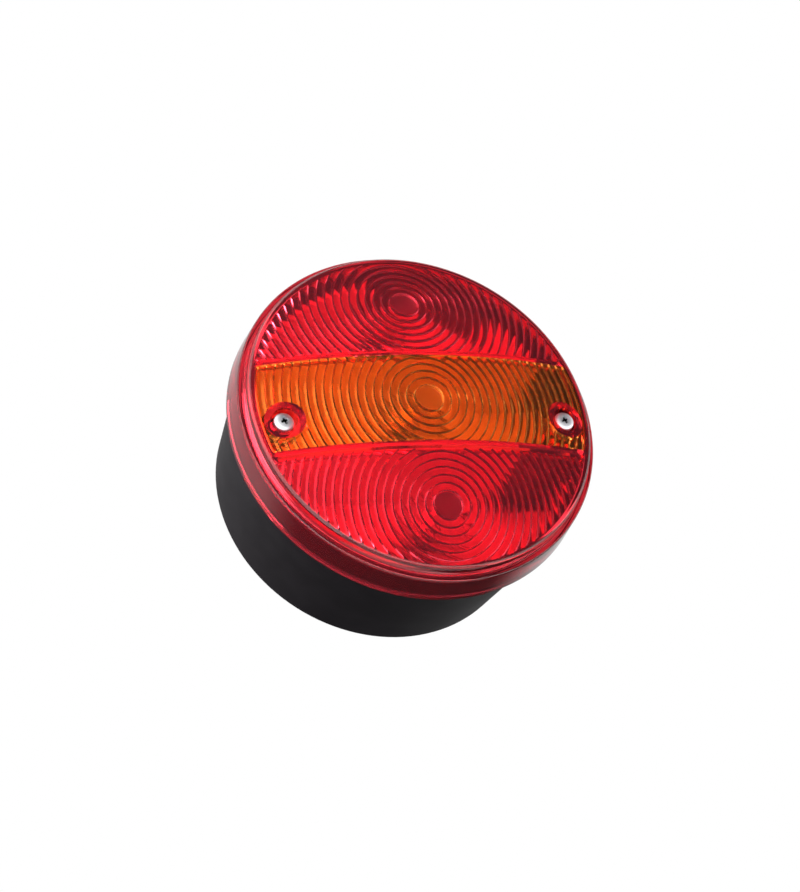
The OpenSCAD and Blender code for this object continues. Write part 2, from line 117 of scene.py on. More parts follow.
class Bench:
    """Modelling moves made with the edit-mode operators."""

    @staticmethod
    def clear() -> None:
        """Leave edit mode and deselect everything."""
        if bpy.context.object and bpy.context.object.mode != "OBJECT":
            bpy.ops.object.mode_set(mode="OBJECT")
        for item in bpy.context.selected_objects:
            item.select_set(False)

    @staticmethod
    def activate(piece: Piece) -> None:
        """Make one piece the only selected and the active one."""
        Bench.clear()
        piece.select_set(True)
        bpy.context.view_layer.objects.active = piece

    @staticmethod
    def point(name: str, place: Vector) -> Piece:
        """Start a piece as one vertex, in edit mode.

        Args:
            name: Name of the piece.
            place: Where the vertex stands, in metres.

        Returns:
            The piece, with its object at the origin and its vertex selected.
        """
        Bench.clear()
        bpy.ops.mesh.primitive_plane_add(size=MM, location=(0.0, 0.0, 0.0))
        piece = bpy.context.object
        piece.name = name
        piece.data.name = name
        bpy.ops.object.mode_set(mode="EDIT")
        bpy.ops.mesh.merge(type="CENTER")
        bpy.ops.transform.translate(value=place)
        return piece

    @staticmethod
    def trace(points: list[Vector], closed: bool) -> None:
        """Extrude the selected vertex from point to point.

        Args:
            points: The places the line runs through, the first being where the vertex stands.
            closed: Whether the last point is joined to the first.
        """
        for before, after in zip(points, points[1:]):
            bpy.ops.mesh.extrude_vertices_move(TRANSFORM_OT_translate={"value": after - before})
        bpy.ops.mesh.select_all(action="SELECT")
        if closed:
            bpy.ops.mesh.remove_doubles(threshold=1e-7)

    @staticmethod
    def close_up(threshold: float = 2e-7) -> None:
        """Merge doubles, turn the faces outwards and leave edit mode."""
        bpy.ops.mesh.select_all(action="SELECT")
        bpy.ops.mesh.remove_doubles(threshold=threshold)
        bpy.ops.mesh.normals_make_consistent(inside=False)
        bpy.ops.object.mode_set(mode="OBJECT")

    @staticmethod
    def turn(
        name: str, line: list[Vector], centre: Vector, axis: Vector, steps: int = 128, closed: bool = True
    ) -> Piece:
        """Turn an outline a full circle about an axis.

        Args:
            name: Name of the piece.
            line: The outline's points in metres, in a plane that holds the axis.
            centre: A point on the axis.
            axis: Direction of the axis.
            steps: Number of segments round the circle.
            closed: Whether the outline is a loop, for a ring, or starts and ends on the axis.

        Returns:
            The turned piece.
        """
        points = line + [line[0]] if closed else line
        piece = Bench.point(name, points[0])
        Bench.trace(points, closed)
        bpy.ops.mesh.spin(steps=steps, angle=2 * math.pi, center=centre, axis=axis)
        Bench.close_up()
        return piece

    @staticmethod
    def turn_about_lamp(
        name: str, outline: Outline, place: Pair = (0.0, 0.0), steps: int = 128, closed: bool = True
    ) -> Piece:
        """Turn an outline in millimetres about an axis that runs along the lamp's own.

        Args:
            name: Name of the piece.
            outline: Points as (radius, height).
            place: The axis's x and z in millimetres.
            steps: Number of segments round the circle.
            closed: Whether the outline is a loop.

        Returns:
            The turned piece.
        """
        centre = Vector((place[0] * MM, 0.0, place[1] * MM))
        line = [centre + Vector((r * MM, -h * MM, 0.0)) for r, h in outline]
        return Bench.turn(name, line, centre, FORWARD, steps, closed)

    @staticmethod
    def slice_level(piece: Piece, height: float, side: int) -> None:
        """Cut a piece off level and cap the cut.

        Args:
            piece: The piece to cut.
            height: The cut's z, in millimetres.
            side: 1 to take away what is above the cut, -1 for what is below it.
        """
        Bench.activate(piece)
        bpy.ops.object.mode_set(mode="EDIT")
        bpy.ops.mesh.select_all(action="SELECT")
        plane = {"plane_co": (0.0, 0.0, height * MM), "plane_no": (0.0, 0.0, side)}
        bpy.ops.mesh.bisect(**plane, use_fill=True, clear_outer=True)
        Bench.close_up(1e-9)

    @staticmethod
    def combine(piece: Piece, tool: Piece, how: Join) -> None:
        """Join, cut or trim a piece with a tool body, which is used up.

        Args:
            piece: The piece that is kept.
            tool: The tool body.
            how: What the tool does to the piece.
        """
        Bench.activate(piece)
        step = piece.modifiers.new(how.name.lower(), "BOOLEAN")
        step.operation = how.value
        step.object = tool
        step.solver = "MANIFOLD"
        bpy.ops.object.modifier_apply(modifier=step.name)
        bpy.data.objects.remove(tool)
        if not piece.data.vertices:
            raise ValueError(f"{piece.name}: nothing was left after {how.name}")

    @staticmethod
    def join(pieces: list[Piece]) -> Piece:
        """Put several bodies in the first one's mesh."""
        Bench.clear()
        for item in pieces:
            item.select_set(True)
        bpy.context.view_layer.objects.active = pieces[0]
        bpy.ops.object.join()
        return pieces[0]

    @staticmethod
    def smooth(piece: Piece, degrees: float) -> None:
        """Shade a piece smooth, except over edges sharper than an angle."""
        Bench.activate(piece)
        bpy.ops.object.shade_smooth_by_angle(angle=math.radians(degrees))

    @staticmethod
    def wind(
        name: str, section: list[Vector], centre: Vector, axis: str, pitch: float, turns: int, steps: int
    ) -> Piece:
        """Wind a closed section into a screw thread or a coil.

        Args:
            name: Name of the piece.
            section: The section's points in metres, in a plane that holds the axis.
            centre: A point on the axis.
            axis: "X" or "Y", the axis of winding.
            pitch: Travel along the axis for each turn, in metres.
            turns: Number of turns.
            steps: Segments in each turn.

        Returns:
            The wound piece with its two ends filled.
        """
        piece = Bench.point(name, section[0] - centre)
        Bench.trace([p - centre for p in section] + [section[0] - centre], closed=True)
        bpy.ops.object.mode_set(mode="OBJECT")
        screw = piece.modifiers.new("wind", "SCREW")
        screw.axis = axis
        screw.screw_offset = pitch
        screw.iterations = turns
        screw.steps = steps
        screw.render_steps = steps
        screw.use_smooth_shade = False
        bpy.ops.object.modifier_apply(modifier="wind")
        bpy.ops.object.mode_set(mode="EDIT")
        bpy.ops.mesh.select_all(action="SELECT")
        bpy.ops.mesh.fill_holes(sides=len(section))
        bpy.ops.transform.translate(value=centre)
        Bench.close_up()
        return piece

    @staticmethod
    def thread(place: Pair, section: Outline, pitch: float, turns: int) -> Piece:
        """Wind a section into a screw thread along the lamp's axis.

        Args:
            place: The screw's x and z in millimetres.
            section: The thread's section as (radius, height), in millimetres.
            pitch: Travel for each turn, in millimetres.
            turns: Number of turns.

        Returns:
            The thread.
        """
        centre = Vector((place[0] * MM, 0.0, place[1] * MM))
        line = [centre + Vector((r * MM, -h * MM, 0.0)) for r, h in section]
        return Bench.wind("thread", line, centre, "Y", -pitch * MM, turns, THREAD_STEPS)


def arc(centre: Pair, radius: float, start: float, end: float, steps: int = 6) -> Outline:
    """Points along an arc from one angle to another, in degrees."""
    angles = [math.radians(start + (end - start) * i / steps) for i in range(steps + 1)]
    return [(centre[0] + radius * math.cos(a), centre[1] + radius * math.sin(a)) for a in angles]


def middle(node: str) -> Pair:
    """The x and z of a node's middle, in millimetres."""
    low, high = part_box(node)
    return (low.x + high.x) / 2 / MM, (low.z + high.z) / 2 / MM


def put(node: Node, **values: float | Colour) -> None:
    """Set a node's own sockets; underscores stand for spaces in their names."""
    for name, value in values.items():
        node.inputs[name.replace("_", " ")].default_value = value


def reckon(tree: Tree, operation: str, one: Socket, other: Socket) -> Socket:
    """Add a sum, a product or a test of two values.

    Args:
        tree: The node tree it goes in.
        operation: What is done with the two.
        one: The first value.
        other: The second value.

    Returns:
        The result.
    """
    node = tree.nodes.new("ShaderNodeMath")
    node.operation = operation
    tree.links.new(one, node.inputs[0])
    tree.links.new(other, node.inputs[1])
    return node.outputs["Value"]


class Sheet:
    """One material's node tree, with a Principled shader in it."""

    def __init__(self, name: str) -> None:
        """Start the material with its shader and its object coordinates."""
        self.material = bpy.data.materials.new(f"{name}_finish")
        self.material.use_nodes = True
        self.tree = self.material.node_tree
        self.tree.nodes.clear()
        self.shader = self.add("ShaderNodeBsdfPrincipled")
        self.output = self.add("ShaderNodeOutputMaterial")
        self.link(self.shader.outputs["BSDF"], self.output.inputs["Surface"])
        self.place = self.add("ShaderNodeTexCoord").outputs["Object"]

    def add(self, kind: str) -> Node:
        """Add a node of a kind."""
        return self.tree.nodes.new(kind)

    def link(self, source: Socket, target: Socket) -> None:
        """Join two sockets."""
        self.tree.links.new(source, target)

    def effect(self, group: Tree, **values: float) -> Node:
        """Place a shared effect, read in object coordinates."""
        node = self.add("ShaderNodeGroup")
        node.node_tree = group
        self.link(self.place, node.inputs["Place"])
        put(node, **values)
        return node

    def blend(self, mask: Socket, low: Colour | Socket, high: Colour) -> Socket:
        """A colour that runs from low to high with a mask.

        Args:
            mask: Where the colour is high.
            low: The colour elsewhere, or a socket that gives it.
            high: The colour where the mask is 1.

        Returns:
            The colour.
        """
        mix = self.add("ShaderNodeMix")
        mix.data_type = "RGBA"
        self.link(mask, mix.inputs["Factor"])
        if isinstance(low, tuple):
            mix.inputs[MIX_LOW].default_value = low
        else:
            self.link(low, mix.inputs[MIX_LOW])
        mix.inputs[MIX_HIGH].default_value = high
        return mix.outputs[MIX_COLOUR]

    def span(self, mask: Socket, low: float, high: float) -> Socket:
        """A number that runs from low to high with a mask."""
        mix = self.add("ShaderNodeMapRange")
        self.link(mask, mix.inputs["Value"])
        put(mix, To_Min=low, To_Max=high)
        return mix.outputs["Result"]

    def absorb(self, colour: Colour, density: float) -> None:
        """Let the body of the material take up light along the way through it."""
        node = self.add("ShaderNodeVolumeAbsorption")
        put(node, Color=colour, Density=density)
        self.link(node.outputs["Volume"], self.output.inputs["Volume"])

    def in_boxes(self, boxes: tuple[Box, ...]) -> Socket:
        """Mask of the places inside any of a few boxes.

        Args:
            boxes: Each box's lowest and highest corners, in millimetres.

        Returns:
            The mask.
        """
        mask: Socket | None = None
        for low, high in boxes:
            values = {f"Low_{axis}": low[i] * MM for i, axis in enumerate("XYZ")}
            values |= {f"High_{axis}": high[i] * MM for i, axis in enumerate("XYZ")}
            inside = self.effect(Effects.patch(), **values).outputs["Mask"]
            mask = inside if mask is None else self.larger(mask, inside)
        return mask

    def larger(self, one: Socket, other: Socket) -> Socket:
        """The larger of two values."""
        return reckon(self.tree, "MAXIMUM", one, other)

    def bump(self, height: Socket, distance: float) -> None:
        """Raise the surface by a height map, to a depth in metres."""
        node = self.add("ShaderNodeBump")
        put(node, Distance=distance)
        self.link(height, node.inputs["Height"])
        self.link(node.outputs["Normal"], self.shader.inputs["Normal"])

    def cover(self, colour: Socket, grain: Node, roughness: Pair, depth: float) -> None:
        """Give the shader its colour, and its gloss and relief from a grain.

        Args:
            colour: The colour.
            grain: The mould grain.
            roughness: The lowest and highest roughness.
            depth: Depth of the grain, in metres.
        """
        self.link(colour, self.shader.inputs["Base Color"])
        self.link(self.span(grain.outputs["Gloss"], *roughness), self.shader.inputs["Roughness"])
        self.bump(grain.outputs["Height"], depth)


class Effects:
    """Shared surface effects, each one node group that is made once."""

    @staticmethod
    def _group(name: str, inputs: dict[str, float], outputs: tuple[str, ...]) -> Tree:
        """Start a group with a Place input.

        Args:
            name: Name of the group.
            inputs: Each number input, with its usual value.
            outputs: The number outputs.

        Returns:
            The group, whose two end nodes are called in and out.
        """
        tree = bpy.data.node_groups.new(name, "ShaderNodeTree")
        tree.interface.new_socket("Place", in_out="INPUT", socket_type="NodeSocketVector")
        for label, value in inputs.items():
            socket = tree.interface.new_socket(label, in_out="INPUT", socket_type="NodeSocketFloat")
            socket.default_value = value
        for label in outputs:
            tree.interface.new_socket(label, in_out="OUTPUT", socket_type="NodeSocketFloat")
        tree.nodes.new("NodeGroupInput").name = "in"
        tree.nodes.new("NodeGroupOutput").name = "out"
        return tree

    @staticmethod
    def _noise(tree: Tree, detail: float, roughness: float = 0.5) -> Node:
        """Add noise, read at the group's place."""
        noise = tree.nodes.new("ShaderNodeTexNoise")
        put(noise, Detail=detail, Roughness=roughness)
        tree.links.new(tree.nodes["in"].outputs["Place"], noise.inputs["Vector"])
        return noise

    @staticmethod
    @cache
    def mould_grain() -> Tree:
        """Fine spark-eroded grain of a mould, with a slow change of gloss over it."""
        tree = Effects._group("mould_grain", {"Scale": 1400.0}, ("Height", "Gloss"))
        nodes, link = tree.nodes, tree.links.new
        fine = Effects._noise(tree, 3.0, 0.7)
        link(nodes["in"].outputs["Scale"], fine.inputs["Scale"])
        slow = Effects._noise(tree, 4.0)
        put(slow, Scale=55.0)
        link(fine.outputs["Fac"], nodes["out"].inputs["Height"])
        link(slow.outputs["Fac"], nodes["out"].inputs["Gloss"])
        return tree

    @staticmethod
    @cache
    def mottle() -> Tree:
        """Soft patches, for tarnish, plating and handling marks."""
        tree = Effects._group("mottle", {"Scale": 300.0, "Low": 0.35, "High": 0.65}, ("Mask",))
        nodes, link = tree.nodes, tree.links.new
        noise = Effects._noise(tree, 5.0)
        link(nodes["in"].outputs["Scale"], noise.inputs["Scale"])
        ramp = nodes.new("ShaderNodeMapRange")
        ramp.interpolation_type = "SMOOTHSTEP"
        link(noise.outputs["Fac"], ramp.inputs["Value"])
        link(nodes["in"].outputs["Low"], ramp.inputs["From Min"])
        link(nodes["in"].outputs["High"], ramp.inputs["From Max"])
        link(ramp.outputs["Result"], nodes["out"].inputs["Mask"])
        return tree

    @staticmethod
    @cache
    def dome_inside() -> Tree:
        """The inside of the dome: Inside over all of it, and Eye on a round spot in front of one bulb."""
        sizes = {"Ball Centre": 0.1551, "Inner Radius": 0.2281, "Reach": 0.0643, "Eye Z": 0.0, "Eye Radius": 0.0054}
        tree = Effects._group("dome_inside", sizes, ("Inside", "Eye"))
        nodes, link = tree.nodes, tree.links.new
        given, results = nodes["in"].outputs, nodes["out"].inputs

        def away(place: Socket, axis: str, value: Socket) -> Socket:
            """Distance to a point on one axis.

            Args:
                place: Where it is measured from.
                axis: The axis.
                value: How far along the axis the point is.

            Returns:
                The distance.
            """
            point = nodes.new("ShaderNodeCombineXYZ")
            link(value, point.inputs[axis])
            node = nodes.new("ShaderNodeVectorMath")
            node.operation = "DISTANCE"
            link(place, node.inputs[0])
            link(point.outputs["Vector"], node.inputs[1])
            return node.outputs["Value"]

        flat = nodes.new("ShaderNodeVectorMath")
        flat.operation = "MULTIPLY"
        flat.inputs[1].default_value = (1.0, 0.0, 1.0)
        link(given["Place"], flat.inputs[0])
        length = nodes.new("ShaderNodeVectorMath")
        length.operation = "LENGTH"
        link(flat.outputs["Vector"], length.inputs[0])
        under = reckon(tree, "LESS_THAN", away(given["Place"], "Y", given["Ball Centre"]), given["Inner Radius"])
        within = reckon(tree, "LESS_THAN", length.outputs["Value"], given["Reach"])
        inside = reckon(tree, "MULTIPLY", under, within)
        spot = reckon(tree, "LESS_THAN", away(flat.outputs["Vector"], "Z", given["Eye Z"]), given["Eye Radius"])
        link(inside, results["Inside"])
        link(reckon(tree, "MULTIPLY", inside, spot), results["Eye"])
        return tree

    @staticmethod
    @cache
    def patch() -> Tree:
        """Whether a place lies in a box between two corners."""
        sizes = {f"{end} {axis}": 0.0 for end in ("Low", "High") for axis in "XYZ"}
        tree = Effects._group("patch", sizes, ("Mask",))
        given = tree.nodes["in"].outputs
        split = tree.nodes.new("ShaderNodeSeparateXYZ")
        tree.links.new(given["Place"], split.inputs["Vector"])
        mask: Socket | None = None
        for end, test in (("Low", "GREATER_THAN"), ("High", "LESS_THAN")):
            for axis in "XYZ":
                holds = reckon(tree, test, split.outputs[axis], given[f"{end} {axis}"])
                mask = holds if mask is None else reckon(tree, "MULTIPLY", mask, holds)
        tree.links.new(mask, tree.nodes["out"].inputs["Mask"])
        return tree


@dataclass(frozen=True)
class MouldedPlastic:
    """Opaque moulded plastic or rubber with a fine grain."""

    name: str
    colour: Colour
    worn_colour: Colour
    roughness: Pair
    grain_scale: float = 1400.0
    grain_depth: float = 0.00003
    specular: float = 0.5

    def make(self) -> bpy.types.Material:
        """Build the material."""
        sheet = Sheet(self.name)
        put(sheet.shader, IOR=1.5, Specular_IOR_Level=self.specular)
        grain = sheet.effect(Effects.mould_grain(), Scale=self.grain_scale)
        patches = sheet.effect(Effects.mottle(), Scale=90.0)
        colour = sheet.blend(patches.outputs["Mask"], self.colour, self.worn_colour)
        sheet.cover(colour, grain, self.roughness, self.grain_depth)
        return sheet.material


@dataclass(frozen=True)
class PaintedTray:
    """White paint, made near black in a few boxes given by their corners in millimetres."""

    name: str
    paint: Colour
    worn_paint: Colour
    dark_colour: Colour
    dark_boxes: tuple[Box, ...]
    roughness: Pair = (0.22, 0.34)
    grain_depth: float = 0.00001

    def make(self) -> bpy.types.Material:
        """Build the material."""
        sheet = Sheet(self.name)
        put(sheet.shader, IOR=1.5)
        grain = sheet.effect(Effects.mould_grain(), Scale=700.0)
        patches = sheet.effect(Effects.mottle(), Scale=90.0)
        painted = sheet.blend(patches.outputs["Mask"], self.paint, self.worn_paint)
        # The tray is made near black inside the given boxes.
        surface = sheet.blend(sheet.in_boxes(self.dark_boxes), painted, self.dark_colour)
        sheet.cover(surface, grain, self.roughness, self.grain_depth)
        return sheet.material


@dataclass(frozen=True)
class ClearAcrylic:
    """Clear coloured lens plastic or bulb glass."""

    name: str
    colour: Colour
    ior: float = 1.49
    roughness: float = 0.012
    ripple: float = 0.000006
    clearness: float = 1.0
    let_through: Colour | None = None
    absorption: float = 0.0
    eyes: tuple[float, ...] = ()
    eye_colour: Colour | None = None
    satin: float = 0.12
    frost: float = 0.5

    def make(self) -> bpy.types.Material:
        """Build the material."""
        sheet = Sheet(self.name)
        put(sheet.shader, Base_Color=self.colour, Transmission_Weight=self.clearness)
        put(sheet.shader, IOR=self.ior, Roughness=self.roughness)
        ripple = sheet.effect(Effects.mould_grain(), Scale=130.0)
        sheet.bump(ripple.outputs["Height"], self.ripple)
        if self.let_through:
            sheet.absorb(self.let_through, self.absorption)
        surface: Socket | None = None
        eye: Socket | None = None
        for eye_z in self.eyes:
            spot = sheet.effect(Effects.dome_inside(), Eye_Z=eye_z)
            surface = spot.outputs["Inside"]
            eye = spot.outputs["Eye"] if eye is None else sheet.larger(eye, spot.outputs["Eye"])
        if surface is not None:
            satin = sheet.span(surface, self.roughness, self.satin)
            sheet.link(sheet.larger(satin, sheet.span(eye, 0.0, self.frost)), sheet.shader.inputs["Roughness"])
            sheet.link(sheet.blend(eye, self.colour, self.eye_colour), sheet.shader.inputs["Base Color"])
        return sheet.material


@dataclass(frozen=True)
class PlatedMetal:
    """Plated, rolled or drawn metal with soft patches in its plating, and painted shade in given boxes."""

    name: str
    colour: Colour
    patch_colour: Colour
    roughness: Pair
    patch_scale: float = 260.0
    hollows: tuple[Box, ...] = ()
    # Near-black colour of the painted shade in the given boxes.
    recess_shade: Colour = (0.025, 0.025, 0.03, 1)
    grain_depth: float = 0.000004

    def make(self) -> bpy.types.Material:
        """Build the material."""
        sheet = Sheet(self.name)
        put(sheet.shader, Metallic=1.0)
        patches = sheet.effect(Effects.mottle(), Scale=self.patch_scale)
        grain = sheet.effect(Effects.mould_grain(), Scale=2600.0)
        plating = sheet.blend(patches.outputs["Mask"], self.colour, self.patch_colour)
        # Painted shade: near black inside the given boxes, for the screw recesses.
        if self.hollows:
            plating = sheet.blend(sheet.in_boxes(self.hollows), plating, self.recess_shade)
        sheet.cover(plating, grain, self.roughness, self.grain_depth)
        return sheet.material


class Finishes:
    """Every finish of the lamp, by the record's material slot."""

    def __init__(self) -> None:
        """Build all the materials."""
        # Boxes of painted shade in the two screws' cross recesses.
        recess_shade_boxes = tuple(self.screw_recess_shade(side) for side in Side)
        kinds = [
            MouldedPlastic(
                "black_plastic", (0.003, 0.0023, 0.0031, 1), (0.0042, 0.0034, 0.0043, 1), (0.48, 0.6), specular=0.07
            ),
            PaintedTray(
                "white_plastic",
                (0.87, 0.86, 0.84, 1),
                (0.9, 0.89, 0.87, 1),
                # Near black, used inside the boxes that follow, in millimetres.
                (0.02, 0.02, 0.02, 1),
                (
                    ((34.0, -70.0, -24.5), (58.0, -29.7, -17.0)),
                    ((51.0, -70.0, 3.0), (64.0, -30.3, 24.0)),
                    ((-4.0, -70.0, 44.0), (40.0, -38.0, 64.0)),
                ),
            ),
            MouldedPlastic("rubber", (0.016, 0.016, 0.017, 1), (0.024, 0.023, 0.023, 1), (0.6, 0.75), 1000.0),
            MouldedPlastic("brown_insulator", (0.09, 0.035, 0.014, 1), (0.13, 0.05, 0.02, 1), (0.35, 0.5), 900.0),
            MouldedPlastic(
                "black_insulator", (0.012, 0.012, 0.016, 1), (0.02, 0.02, 0.026, 1), (0.12, 0.2), 900.0, 0.00001
            ),
            ClearAcrylic(
                "red_lens",
                (1.0, 0.085, 0.14, 1),
                clearness=0.98,
                let_through=(0.972, 0.9, 0.9, 1),
                absorption=1000.0,
                eyes=(-0.043, 0.043),
                eye_colour=(0.15, 0.012, 0.03, 1),
            ),
            ClearAcrylic(
                "amber_lens",
                (1.0, 0.34, 0.075, 1),
                clearness=0.99,
                let_through=(0.985, 0.95, 0.9, 1),
                absorption=1000.0,
                eyes=(0.0,),
                eye_colour=(0.92, 0.27, 0.045, 1),
            ),
            ClearAcrylic("bulb_glass", (0.98, 0.99, 1.0, 1), 1.5, 0.0, 0.000001),
            PlatedMetal("zinc_steel", (0.82, 0.82, 0.85, 1), (0.72, 0.72, 0.75, 1), (0.44, 0.54), hollows=recess_shade_boxes),
            PlatedMetal("brass", (0.78, 0.57, 0.24, 1), (0.62, 0.42, 0.16, 1), (0.22, 0.4)),
            PlatedMetal("nickel", (0.72, 0.7, 0.66, 1), (0.63, 0.6, 0.55, 1), (0.16, 0.3)),
            PlatedMetal("solder", (0.6, 0.6, 0.6, 1), (0.45, 0.45, 0.46, 1), (0.35, 0.5)),
            PlatedMetal("filament_wire", (0.4, 0.4, 0.42, 1), (0.3, 0.3, 0.32, 1), (0.3, 0.4), 2000.0),
        ]
        self.by_slot = {kind.name: kind.make() for kind in kinds}

    @staticmethod
    def screw_recess_shade(side: Side, half: float = 2.4, depths: Pair = (0.8, 2.1)) -> Box:
        """The box of painted shade round the foot of one lens screw's cross recess.

        Args:
            side: Which of the two screws.
            half: Half the box's width.
            depths: Where the box starts and ends below the top of the head.

        Returns:
            The box, in millimetres.
        """
        node = f"{side.value}_lens_screw"
        (x, z), top = middle(node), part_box(node)[0].y / MM
        return (x - half, top + depths[0], z - half), (x + half, top + depths[1], z + half)

    def dress(self, piece: Piece, slot: str) -> None:
        """Give a piece its finish, in place of any it had."""
        piece.data.materials.clear()
        piece.data.materials.append(self.by_slot[slot])


def hand_over(piece: Piece, body: str, slot: str, finishes: Finishes, *replaced: str) -> None:
    """Dress a new piece, put it on its body and report it.

    Args:
        piece: The finished piece.
        body: The body it moves with.
        slot: Its material slot.
        finishes: The lamp's finishes.
        replaced: Nodes of the frame that it stands for.
    """
    finishes.dress(piece, slot)
    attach(piece, body)
    if replaced:
        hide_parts(*replaced)
    LOG.info("%s: %d faces on %s", piece.name, len(piece.data.polygons), body)


@dataclass
class Optics:
    """Cushioned rings with fine grooves between them, on the inside of the dome round one bulb's place."""

    ball_r: float
    crown: float
    first_ring: float = 5.6
    pitch: float = 3.1
    thick: float = 2.9
    sag: float = 0.22
    groove_half: float = 0.34
    groove_floor: float = 0.8
    eye_thick: float = 2.7
    reach: float = 68.0
    steps: int = 144
    outer_steps: int = 22

    def turned(self, name: str, place_z: float) -> Piece:
        """Turn a disc of dome with its rings about the line from the dome's centre through one place.

        Args:
            name: Name of the piece.
            place_z: Height of the bulb's axis above the lamp's, in millimetres.

        Returns:
            The disc, wider than the section it is for.
        """
        centre = Vector((0.0, (self.ball_r - self.crown) * MM, 0.0))
        tilt = math.asin(place_z / self.ball_r)
        axis = Vector((0.0, -math.cos(tilt), math.sin(tilt)))

        def at(along: float, thickness: float) -> Vector:
            """Point at an arc length from the axis and a depth below the outer face."""
            angle = along / self.ball_r
            out = (self.ball_r - thickness) * MM
            return centre + axis * (out * math.cos(angle)) + Vector((out * math.sin(angle), 0.0, 0.0))

        outer = [at(self.reach * i / self.outer_steps, 0.0) for i in range(self.outer_steps + 1)]
        inner = [at(0.0, self.eye_thick), at(self.first_ring - self.groove_half, self.eye_thick)]
        ring = self.first_ring
        while ring < self.reach:
            crest, half = ring + self.pitch / 2, self.pitch / 2 - self.groove_half
            inner.append(at(ring, self.groove_floor))
            for share in (-1.0, -0.6, 0.0, 0.6, 1.0):
                inner.append(at(crest + share * half, self.thick - self.sag * share**2))
            ring += self.pitch
        inner.append(at(ring, self.groove_floor))
        outer.append(at(ring, 0.0))
        line = outer + list(reversed(inner))
        return Bench.turn(name, line, centre, axis, self.steps, closed=False)


@dataclass
class LensMouldings:
    """The red moulding with its skirt, rim and ribs, and the amber insert between its two sections."""

    radius: float = field(init=False)
    skirt_edge: float = field(init=False)
    crown: float = field(init=False)
    skirt_wall: float = 2.4
    skirt_draft: float = 0.6
    ledge: float = 61.0
    ledge_w: float = 2.1
    dome_edge: float = 66.0
    rim_round: float = 2.0
    band: float = 18.2
    seam: float = 0.05
    rib_t: float = 2.8
    rib_depth: float = 2.6
    spigot_bore: float = 63.7
    dome_wall: float = 3.0
    well_r: float = 7.5
    well_cut: Pair = (50.0, 80.0)
    trim_foot: float = 40.0
    trim_proud: float = 5.0
    well_places: tuple[Pair, ...] = ((-55.4, -6.0), (55.4, -6.0))
    bulb_z: dict[Bulb, float] = field(default_factory=dict)

    def __post_init__(self) -> None:
        """Work out the sizes that follow from the others."""
        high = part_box("lens_red")[1]
        self.radius = high.x / MM
        self.crown = -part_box("lens_amber")[0].y / MM
        self.skirt_edge = -high.y / MM
        for bulb in Bulb:
            self.bulb_z[bulb] = middle(f"{bulb.value}_bulb_glass")[1]
        self.rim_base = self.radius - self.skirt_draft - self.ledge_w
        self.rim_r = self.rim_base - 0.5
        self.dome_r = self.rim_r - self.rim_round
        self.inner_r = self.rim_r - self.skirt_wall - 0.2
        rise = self.crown - self.dome_edge
        self.ball_r = (self.dome_r**2 + rise**2) / (2 * rise)
        self.optics = Optics(self.ball_r, self.crown)

    def dome(self, r: float) -> float:
        """Height of the dome's outer face at a radius."""
        return self.crown - self.ball_r + math.sqrt(self.ball_r**2 - r**2)

    def rim_ring(self) -> Piece:
        """The skirt, the ledge and the raised rim, as one turned ring."""
        top_r = self.radius - self.skirt_draft
        under = self.ledge - self.skirt_wall
        outline = [(self.radius - 0.25, self.skirt_edge), (self.radius, self.skirt_edge + 0.25)]
        outline += arc((top_r - 0.8, self.ledge - 0.8), 0.8, 0, 90)
        outline += [(self.rim_base + 0.5, self.ledge), (self.rim_base + 0.12, self.ledge + 0.12)]
        outline += [(self.rim_base, self.ledge + 0.5)]
        outline += arc((self.dome_r, self.dome_edge - self.rim_round), self.rim_round, 0, 90, 8)
        outline += [(self.inner_r + 0.3, self.dome(self.inner_r + 0.3)), (self.inner_r, self.dome(self.inner_r))]
        outline += [(self.inner_r, under + 0.4), (self.inner_r + 0.4, under)]
        outline += [(top_r - self.skirt_wall - 0.5, under), (top_r - self.skirt_wall, under - 0.5)]
        outline += [(self.radius - self.skirt_wall, self.skirt_edge)]
        return Bench.turn_about_lamp("lens_red_moulding", outline, steps=LENS_STEPS)

    def trimmed_to_rim(self, piece: Piece, radius: float) -> None:
        """Trim a disc of dome to a radius about the lamp's axis."""
        self.trimmed(piece, [(radius, self.trim_foot), (radius, self.crown + self.trim_proud)])

    def trimmed(self, piece: Piece, side: Outline) -> None:
        """Trim a piece to what lies inside a turned side, given from its foot upwards."""
        outline = [(0.0, side[0][1]), *side, (0.0, side[-1][1])]
        tool = Bench.turn_about_lamp("trim", outline, steps=LENS_STEPS, closed=False)
        Bench.combine(piece, tool, Join.KEEP_INSIDE)

    def red_section(self, bulb: Bulb) -> Piece:
        """One red section of the dome, with its rings."""
        side = 1 if self.bulb_z[bulb] > 0 else -1
        piece = self.optics.turned(f"{bulb.value}_section", self.bulb_z[bulb])
        Bench.slice_level(piece, side * (self.band + self.seam / 2), -side)
        self.trimmed_to_rim(piece, self.inner_r + 0.03)
        return piece

    def rib(self, side: int) -> Piece:
        """A red rib below one edge of the amber band."""
        low, high = self.ball_r - self.dome_wall - self.rib_depth, self.ball_r - 0.5
        centre_h = self.crown - self.ball_r
        top = math.asin((self.inner_r + 0.3) / high)
        angles = [math.pi / 2 - top * i / 12 for i in range(13)]
        outline = [(low * math.cos(a), centre_h + low * math.sin(a)) for a in angles]
        outline += [(high * math.cos(a), centre_h + high * math.sin(a)) for a in reversed(angles)]
        piece = Bench.turn_about_lamp("rib", outline, closed=False)
        Bench.slice_level(piece, side * (self.band + self.seam / 2), -side)
        Bench.slice_level(piece, side * (self.band + self.rib_t), side)
        under = self.ledge - self.skirt_wall
        bore, reach = self.spigot_bore, self.inner_r + 0.1
        profile = [(bore, self.trim_foot), (bore, under), (reach, under), (reach, self.crown + self.trim_proud)]
        self.trimmed(piece, profile)
        return piece

